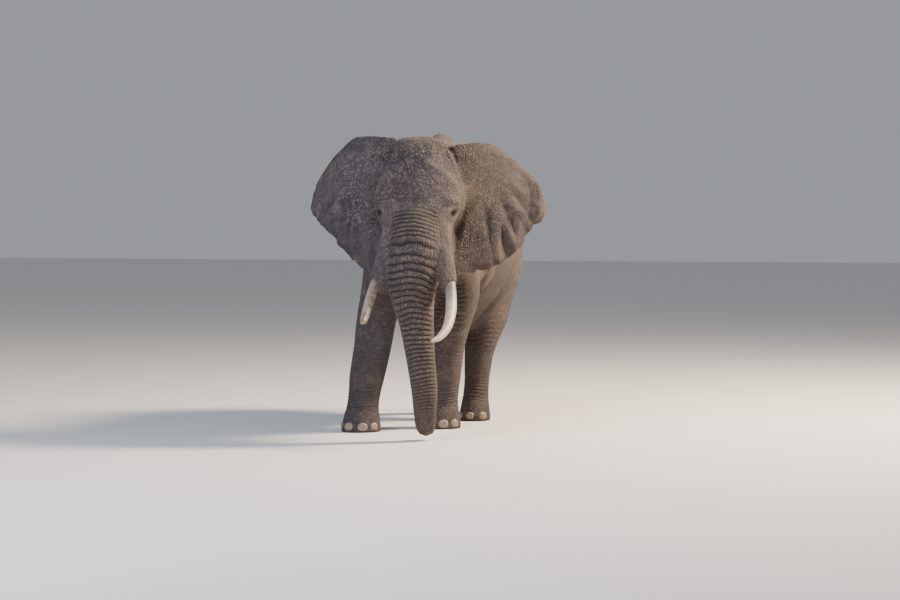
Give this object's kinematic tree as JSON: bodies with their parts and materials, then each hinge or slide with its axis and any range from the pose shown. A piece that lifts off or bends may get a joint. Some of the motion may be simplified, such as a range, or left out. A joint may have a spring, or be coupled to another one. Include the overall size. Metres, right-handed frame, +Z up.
{
  "type": "african elephant figure",
  "caption": "Still, life-size museum figure of a bull African elephant in mid-stride, ears spread, head turned a little to its left and trunk hanging.",
  "frame": {"origin": "on the floor, below the middle of the whole figure's box", "axes": "the bull faces -Y, +X is its left side, +Z is up"},
  "size_m": [2.626, 4.99, 3.3481],
  "materials": {
    "hide": "dry, matt, wrinkled and dusty grey-brown hide",
    "ivory": "satin cream ivory, stained towards the root",
    "eye": "wet, glossy dark brown",
    "nail": "dull, worn horn",
    "tail_hair": "coarse black wiry hair"
  },
  "bodies": {
    "root": {"torso": "hide", "neck": "hide", "head": "hide", "jaw": "hide", "trunk_upper": "hide", "trunk_middle": "hide", "trunk_lower": "hide", "leg_front_left": "hide", "leg_front_right": "hide", "leg_hind_left": "hide", "leg_hind_right": "hide", "foot_front_left": "hide", "foot_front_right": "hide", "foot_hind_left": "hide", "foot_hind_right": "hide", "ear_left": "hide", "ear_right": "hide", "tail": "hide", "tusk_left": "ivory", "tusk_right": "ivory", "eye_left": "eye", "eye_right": "eye", "nail_front_left_1": "nail", "nail_front_left_2": "nail", "nail_front_left_3": "nail", "nail_front_left_4": "nail", "nail_front_right_1": "nail", "nail_front_right_2": "nail", "nail_front_right_3": "nail", "nail_front_right_4": "nail", "nail_hind_left_1": "nail", "nail_hind_left_2": "nail", "nail_hind_left_3": "nail", "nail_hind_right_1": "nail", "nail_hind_right_2": "nail", "nail_hind_right_3": "nail", "tail_tuft": "tail_hair"}
  },
  "joints": []
}
